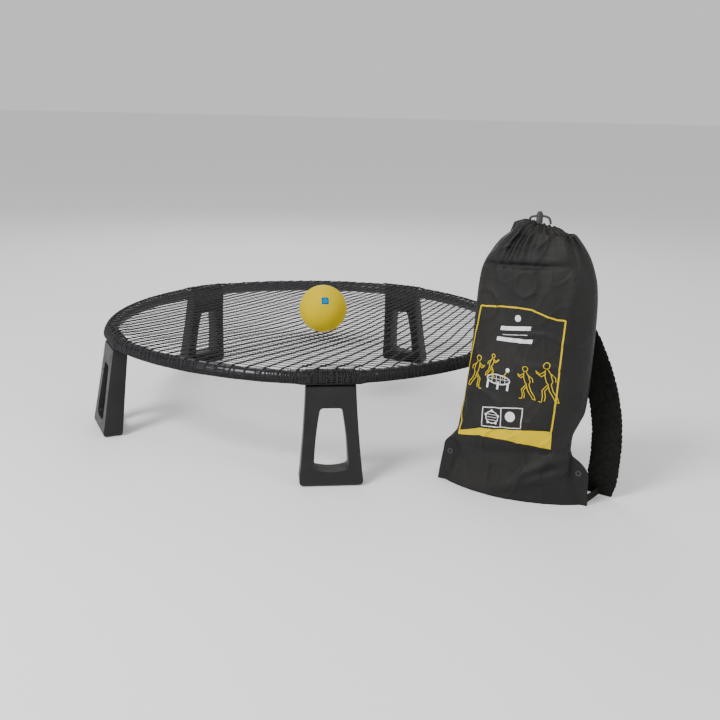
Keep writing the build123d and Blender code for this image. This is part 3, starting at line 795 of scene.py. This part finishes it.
class Print:
    """Ink shapes that follow the front of the cloth, in bag millimetres."""

    def __init__(self):
        self.verts = []
        self.faces = []

    def quad_strip(self, lefts, rights):
        """A strip between two lines of bag points, as a thin closed solid."""
        start = len(self.verts)
        for (x0, z0), (x1, z1) in zip(lefts, rights):
            for proud in (INK_FLOAT, INK_FLOAT + INK_THICKNESS):
                self.verts.append(front_point(x0 * MM, z0 * MM, proud))
                self.verts.append(front_point(x1 * MM, z1 * MM, proud))
        for i in range(len(lefts) - 1):
            a = start + 4 * i
            b = a + 4
            self.faces += [(a, b, b + 1, a + 1), (a + 2, a + 3, b + 3, b + 2)]
            self.faces += [(a, a + 2, b + 2, b), (a + 1, b + 1, b + 3, a + 3)]
        end = start + 4 * (len(lefts) - 1)
        self.faces += [(start, start + 1, start + 3, start + 2), (end, end + 2, end + 3, end + 1)]

    def stroke(self, points, width, closed=False):
        """A line of ink of one width through the points."""
        dense = []
        ends = list(points) + ([points[0]] if closed else [])
        for (x0, z0), (x1, z1) in zip(ends, ends[1:]):
            parts = max(1, int(math.hypot(x1 - x0, z1 - z0) / 2.5))
            dense += [(lerp(x0, x1, n / parts), lerp(z0, z1, n / parts)) for n in range(parts)]
        dense.append(ends[-1])
        lefts, rights = [], []
        for i, (x, z) in enumerate(dense):
            before = dense[i - 1] if i else (dense[-2] if closed else dense[0])
            after = dense[i + 1] if i + 1 < len(dense) else (dense[1] if closed else dense[-1])
            dx, dz = after[0] - before[0], after[1] - before[1]
            length = math.hypot(dx, dz) or 1
            nx, nz = -dz / length * width / 2, dx / length * width / 2
            lefts.append((x + nx, z + nz))
            rights.append((x - nx, z - nz))
        self.quad_strip(lefts, rights)

    def fill(self, top, bottom, rows):
        """The area between two lines, in rows of narrow strips."""
        pairs = list(zip(spaced(top, 60), spaced(bottom, 60)))

        def line(share):
            return [(lerp(t[0], u[0], share), lerp(t[1], u[1], share)) for t, u in pairs]

        for row in range(rows):
            self.quad_strip(line((row + 1) / rows), line(row / rows))

    def disc(self, x, z, radius_x, radius_z):
        parts = 16
        turns = [math.pi * n / parts for n in range(parts + 1)]
        top = [(x - radius_x * math.cos(t), z + radius_z * math.sin(t)) for t in turns]
        bottom = [(x - radius_x * math.cos(t), z - radius_z * math.sin(t)) for t in turns]
        self.quad_strip(bottom, top)

    def ring(self, x, z, radius_x, radius_z, width):
        parts = 24
        turns = [math.radians(360 * n / parts) for n in range(parts)]
        points = [(x + radius_x * math.cos(t), z + radius_z * math.sin(t)) for t in turns]
        self.stroke(points, width, closed=True)

    def build(self, name, material):
        obj = new_object(name, self.verts, self.faces, smooth_shading=False)
        dress(obj, material)
        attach(obj, "bag")
        return obj


def spaced(points, count):
    """Points evenly spaced along a line of points."""
    lengths = [0.0]
    for a, b in zip(points, points[1:]):
        lengths.append(lengths[-1] + math.dist(a, b))
    out = []
    last = len(points) - 1
    for n in range(count + 1):
        want = lengths[-1] * n / count
        reached = next(k for k in range(last + 1) if lengths[min(k + 1, last)] >= want - 1e-9)
        i = min(last - 1, reached)
        share = (want - lengths[i]) / (lengths[i + 1] - lengths[i])
        (x0, z0), (x1, z1) = points[i], points[i + 1]
        out.append((lerp(x0, x1, share), lerp(z0, z1, share)))
    return out


def player(ink, x, z, size, facing, reach):
    """A generic line figure of a player, its feet at (x, z)."""
    def at(u, v):
        return x + facing * u * size, z + v * size

    pen = 1.3
    ink.ring(*at(6, 58), 4.6 * size, 5.0 * size, pen)
    for line in (
        ((4, 52), (-1, 44), (-4, 33), (-2, 28)),
        ((8, 51), (8, 42), (5, 31), (2, 28)),
        ((8, 49), (15, 44), (20 + reach, 47 + reach)),
        ((7, 45), (13, 40), (19 + reach, 44 + reach)),
        ((-1, 45), (-8, 40), (-9, 33)),
        ((-2, 28), (-6, 17), (-13, 8), (-15, 1)),
        ((3, 28), (0, 18), (-8, 6), (-10, 1), (-16, 0)),
        ((4, 27), (11, 18), (9, 8), (10, 0), (15, 0)),
        ((2, 24), (7, 17), (5, 8), (6, 1)),
    ):
        ink.stroke([at(u, v) for u, v in line], pen)


def build_print():
    yellow, white = Print(), Print()
    top = [(-66, 342), (-29, 347), (3, 349), (27, 348), (54, 339), (70, 335), (84, 335)]
    right = [(84, 335), (82, 291), (80, 236), (77, 180), (73, 139)]
    left = [
        (-66, 342), (-70, 311), (-77, 279), (-84, 239), (-88, 202), (-92, 164), (-95, 141), (-91, 130),
        (-97, 108),
    ]
    yellow.stroke(top, 2.6)
    yellow.stroke(right, 2.6)
    yellow.stroke(left, 2.4)
    band_top = [(-98, 108), (-53, 126), (-5, 133), (36, 137), (74, 139)]
    band_bottom = [(-98, 101), (-53, 112), (-4, 113), (38, 109), (73, 104)]
    yellow.fill(band_top, band_bottom, 8)
    player(yellow, -67, 199, 0.9, 1, 0)
    player(yellow, -38, 224, 0.62, 1, 4)
    player(yellow, 30, 194, 0.92, -1, 0)
    player(yellow, 66, 192, 1.1, -1, 2)
    yellow.stroke([(-15, 224), (-8, 236)], 1.4)
    for x0, z0, x1, z1 in ((-24, 310, 29, 316), (-30, 291, 33, 294)):
        white.fill([(x0, z0 + 4), (x1, z1 + 4)], [(x0 - 1, z0 - 3), (x1 - 1, z1 - 3)], 2)
    white.stroke([(-20, 300), (24, 305)], 0.9)
    white.disc(5, 331, 5.2, 5.6)
    white.ring(-22, 221, 21, 8.5, 2.0)
    for x in (-41, -22, -4):
        white.stroke([(x, 217), (x - 1.5, 203)], 3.4)
    for t in (-12, -4, 4, 12):
        white.stroke([(-22 + t, 214), (-22 + t, 228)], 0.8)
    white.stroke([(-40, 221), (-4, 222)], 0.8)
    white.disc(-6, 240, 3.4, 3.8)
    white.stroke([(-48, 166), (-13, 172), (24, 176), (22, 139), (-13, 136), (-49, 131)], 1.5, closed=True)
    white.stroke([(-13, 172), (-13, 136)], 1.5)
    white.ring(-30, 151, 11, 11, 1.6)
    for turn in range(0, 360, 72):
        angle = math.radians(turn + 20)
        white.disc(-30 + 12 * math.cos(angle), 151 + 12 * math.sin(angle), 2.2, 2.2)
    for t in (-5, 0, 5):
        white.stroke([(-38, 151 + t), (-22, 151 + t)], 0.8)
    white.disc(3, 158, 8.5, 9.0)
    yellow.build("print_yellow", print_ink("ink_yellow", (0.60, 0.43, 0.0), (0.48, 0.35, 0.0)))
    white.build("print_white", print_ink("ink_white", (0.72, 0.72, 0.72), (0.5, 0.5, 0.5)))


# ---- straps -------------------------------------------------------------------------
STRAP_HALF = 27 * MM
STRAP_THICK = 4 * MM
STRAP_Y = 55 * MM
# routes of the straps' middles in the bag's own plane, in millimetres
RIGHT_STRAP = [
    (40, 352), (66, 327), (92, 293), (117, 245), (136, 196), (148, 145), (152, 98), (151, 50), (147, 5),
]
LEFT_STRAP = [
    (-10, 352), (-22, 318), (-34, 284), (-48, 242), (-62, 199), (-76, 148), (-87, 98), (-93, 50), (-98, 5),
]


def curve_through(points, count):
    """Even samples of a smooth curve through points, with the heading at each."""
    dense = []
    for i in range(len(points) - 1):
        p0 = Vector(points[max(0, i - 1)])
        p1, p2 = Vector(points[i]), Vector(points[i + 1])
        p3 = Vector(points[min(len(points) - 1, i + 2)])
        for n in range(20):
            t = n / 20
            dense.append(
                0.5 * (2 * p1 + (p2 - p0) * t + (2 * p0 - 5 * p1 + 4 * p2 - p3) * t ** 2
                       + (3 * p1 - p0 - 3 * p2 + p3) * t ** 3)
            )
    dense.append(Vector(points[-1]))
    even = [Vector(p) for p in spaced([tuple(p) for p in dense], count)]
    headings = [(even[min(i + 1, count)] - even[max(i - 1, 0)]).normalized() for i in range(count + 1)]
    return even, headings


def build_strap(name, points, node):
    """A padded strap with a ribbed face and bound edges, bowed in its own plane."""
    count, across = 220, 18
    line, headings = curve_through(points, count)
    verts, uvs = [], []
    length = 0.0
    for i, (place, heading) in enumerate(zip(line, headings)):
        if i:
            length += (place - line[i - 1]).length
        side = Vector((heading.y, -heading.x))
        wobble = 0.6 * noise.noise(Vector((i * 0.11, 0, 4)))
        half = STRAP_HALF / MM + wobble - 1.2 * (math.sin(length * 0.7) > 0.75)
        half *= lerp(1.0, 0.86, smooth((i - count * 0.93) / (count * 0.07)))
        for face_side in (-1, 1):
            for n in range(across + 1):
                t = -1 + 2 * n / across
                if face_side < 0:
                    t = -t
                thick = STRAP_THICK / MM / 2 * (1 - abs(t) ** 8 * 0.75)
                binding = 0.5 * ridge(abs(t) - 0.9, 0.07)
                rib = 0.45 * abs(math.sin(length * math.pi / 9.0)) * (1 - abs(t) ** 6)
                y = STRAP_Y / MM + face_side * (thick + binding + rib - 0.3)
                y += 2.0 * math.sin(length * 0.012)
                flat = place + side * (half * t)
                verts.append(cloth_to_row(flat.x * MM, y * MM, max(flat.y, 0.6) * MM))
                uvs.append((t * half * MM, length * MM))
    obj = new_object(name, verts, skin(count + 1, 2 * (across + 1)), uvs)
    dress(obj, bpy.data.materials["woven_webbing"])
    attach(obj, "bag")
    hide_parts(node)


# ---- drawcord -----------------------------------------------------------------------
# bag coordinates in millimetres; heights are above the top of the neck
CORD_ROUTE = [
    (38.0, -5.0, 0.2),
    (37.4, -5.3, 9.0),
    (29.0, -7.5, 13.2),
    (9.4, -6.8, 12.0),
    (0.6, -1.2, 8.4),
    (0.4, -0.9, 0.2),
]
CORD_DIAMETER = 4 * MM


def build_drawcord():
    points = [bag_to_row(x * MM, y * MM, NECK_TOP + z * MM) for x, y, z in CORD_ROUTE]
    curve = bpy.data.curves.new("drawcord_line", "CURVE")
    curve.dimensions = "3D"
    spline = curve.splines.new("NURBS")
    spline.points.add(len(points) - 1)
    for target, point in zip(spline.points, points):
        target.co = (*point, 1)
    spline.order_u = 3
    spline.use_endpoint_u = True
    curve.resolution_u = 12
    curve.bevel_depth = CORD_DIAMETER / 2
    curve.bevel_resolution = 4
    curve.use_fill_caps = True
    cord = bpy.data.objects.new("drawcord_loop", curve)
    bpy.context.scene.collection.objects.link(cord)
    curve.materials.append(braided_cord())
    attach(cord, "bag")
    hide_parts("drawcord")


# ---- ball ---------------------------------------------------------------------------
PATCH_HALF = 8.5 * MM
VALVE_R = 5.2 * MM


def build_ball():
    """The ball's skin: an even sphere with a fine moulded pebble."""
    mesh = bpy.data.meshes.new("ball_skin")
    obj = bpy.data.objects.new("ball_skin", mesh)
    bpy.context.scene.collection.objects.link(obj)
    shape = bmesh.new()
    bmesh.ops.create_icosphere(shape, subdivisions=6, radius=1.0)
    for vert in shape.verts:
        way = vert.co.normalized()
        pebble = noise.noise(way * 34) * 0.05 * MM
        vert.co = BALL + way * (BALL_R - 0.05 * MM + pebble)
    shape.to_mesh(mesh)
    shape.free()
    for polygon in mesh.polygons:
        polygon.use_smooth = True
    dress(obj, pebbled_rubber())
    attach(obj, "ball")
    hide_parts("ball_shell")


def build_ball_patch():
    """A square printed patch round the ball's valve."""
    way = (middle("ball_valve") - BALL).normalized()
    across = UP.cross(way).normalized()
    high = way.cross(across)
    verts, faces = [], []
    columns, rings = 64, 4
    for r in range(rings + 1):
        for c in range(columns):
            turn = 2 * math.pi * c / columns
            edge = PATCH_HALF / max(abs(math.cos(turn)), abs(math.sin(turn)))
            reach = lerp(VALVE_R, min(edge, PATCH_HALF * 1.3), r / rings)
            sunk = -0.2 * MM if r in (0, rings) else 0.12 * MM
            aim = way * BALL_R + across * (reach * math.cos(turn)) + high * (reach * math.sin(turn))
            verts.append(BALL + aim.normalized() * (BALL_R + sunk))
    for r in range(rings):
        for c in range(columns):
            d = (c + 1) % columns
            faces.append((r * columns + c, (r + 1) * columns + c, (r + 1) * columns + d, r * columns + d))
    obj = new_object("ball_patch", verts, faces)
    dress(obj, print_ink("ink_blue", (0.0, 0.11, 0.20), (0.0, 0.08, 0.16)))
    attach(obj, "ball")


# ---- pieces that keep their CAD shape -----------------------------------------------------
def dress_cad_nodes():
    nodes = frame["nodes"]
    plastic = moulded_plastic("leg_plastic", (0.006, 0.006, 0.006), (0.011, 0.011, 0.011), 0.46)
    tube = coated_tube()
    spigot = pressed_metal("spigot_metal", (0.6, 0.6, 0.62), 0.35)
    for k in range(1, LEG_COUNT + 1):
        leg = nodes[f"leg_{k}"]
        dress(leg, plastic)
        leg.modifiers.new("weld", "WELD").merge_threshold = 0.01 * MM
        bevel = leg.modifiers.new("edges", "BEVEL")
        bevel.width = 1.3 * MM
        bevel.segments = 2
        bevel.limit_method = "ANGLE"
        bevel.angle_limit = math.radians(35)
        dress(nodes[f"rim_tube_{k}"], tube)
        dress(nodes[f"rim_coupler_{k}"], spigot)
    dress(nodes["ball_valve"], blue_rubber())
    eyelet = pressed_metal("eyelet_metal", (0.07, 0.07, 0.07), 0.4)
    for side in ("left", "right"):
        dress(nodes[f"bag_eyelet_{side}"], eyelet)
        dress(nodes[f"strap_link_{side}"], bpy.data.materials["woven_webbing"])
    dress(nodes["strap_patch"], bpy.data.materials["woven_webbing"])
    lock = moulded_plastic("lock_plastic", (0.02, 0.02, 0.02), (0.05, 0.05, 0.05), 0.4)
    button = moulded_plastic("lock_button", (0.03, 0.03, 0.03), (0.06, 0.06, 0.06), 0.35)
    spring = pressed_metal("spring_metal", (0.6, 0.6, 0.6), 0.3)
    dress(nodes["cord_lock_body"], lock)
    dress(nodes["cord_lock_button"], button)
    dress(nodes["cord_lock_spring"], spring)


# ---- camera, floor and light --------------------------------------------------------------
CAMERA_FROM_RING = Vector((0.21515, -2.05707, 0.67279))
CAMERA_FORWARD = Vector((-0.051012, 0.963402, -0.263164))
CAMERA_RIGHT = Vector((0.998068, 0.058539, 0.020837))
LENS = 46.3675
FLOOR_HALF = 60.0
SKY_STRENGTH = 0.75
# name, place, target, size in metres, power in watts
LIGHTS = [
    ("key", (-1.6, -2.2, 2.6), (0, 0, 0.15), 1.2, 110),
    ("low", (RING.x - 1.2, RING.y - 1.45, 0.42), (RING.x, RING.y, RIM_Z), 0.7, 6),
    ("fill", (2.4, -1.8, 1.8), (0.2, -0.2, 0.2), 2.0, 25),
    ("back", (-0.5, 2.6, 2.2), (0, 0, 0.15), 2.0, 30),
]


def build_camera():
    camera = bpy.data.cameras.new("camera")
    camera.lens = LENS
    camera.sensor_width = 36
    obj = bpy.data.objects.new("camera", camera)
    back = -CAMERA_FORWARD.normalized()
    right = (CAMERA_RIGHT - back * CAMERA_RIGHT.dot(back)).normalized()
    up = back.cross(right)
    turn = Matrix((right, up, back)).transposed().to_4x4()
    place = Vector((RING.x, RING.y, 0)) + CAMERA_FROM_RING
    obj.matrix_world = Matrix.Translation(place) @ turn
    bpy.context.scene.collection.objects.link(obj)
    bpy.context.scene.camera = obj


def build_floor():
    corners = [(x * FLOOR_HALF, y * FLOOR_HALF, 0) for x, y in ((-1, -1), (1, -1), (1, 1), (-1, 1))]
    floor = new_object("floor", corners, [(0, 1, 2, 3)])
    dress(floor, Nodes("floor_paint", (0.86, 0.86, 0.86), 0.9).material)


def area_light(name, place, target, size, power):
    light = bpy.data.lights.new(name, "AREA")
    light.shape = "DISK"
    light.size = size
    light.energy = power
    obj = bpy.data.objects.new(name, light)
    obj.location = place
    obj.rotation_euler = (Vector(target) - Vector(place)).to_track_quat("-Z", "Y").to_euler()
    bpy.context.scene.collection.objects.link(obj)


def build_light():
    world = bpy.data.worlds.new("studio")
    world.use_nodes = True
    sky = world.node_tree.nodes["Background"].inputs
    sky["Color"].default_value = (1, 1, 1, 1)
    sky["Strength"].default_value = SKY_STRENGTH
    bpy.context.scene.world = world
    for light in LIGHTS:
        area_light(*light)


# ---- the whole scene ----------------------------------------------------------------------
build_camera()
build_net()
build_gathers()
build_hem()
webbing()
build_bag()
build_print()
build_strap("strap_right", RIGHT_STRAP, "shoulder_strap_right")
build_strap("strap_left", LEFT_STRAP, "shoulder_strap_left")
build_drawcord()
build_ball()
build_ball_patch()
dress_cad_nodes()
build_floor()
build_light()

bpy.context.view_layer.update()
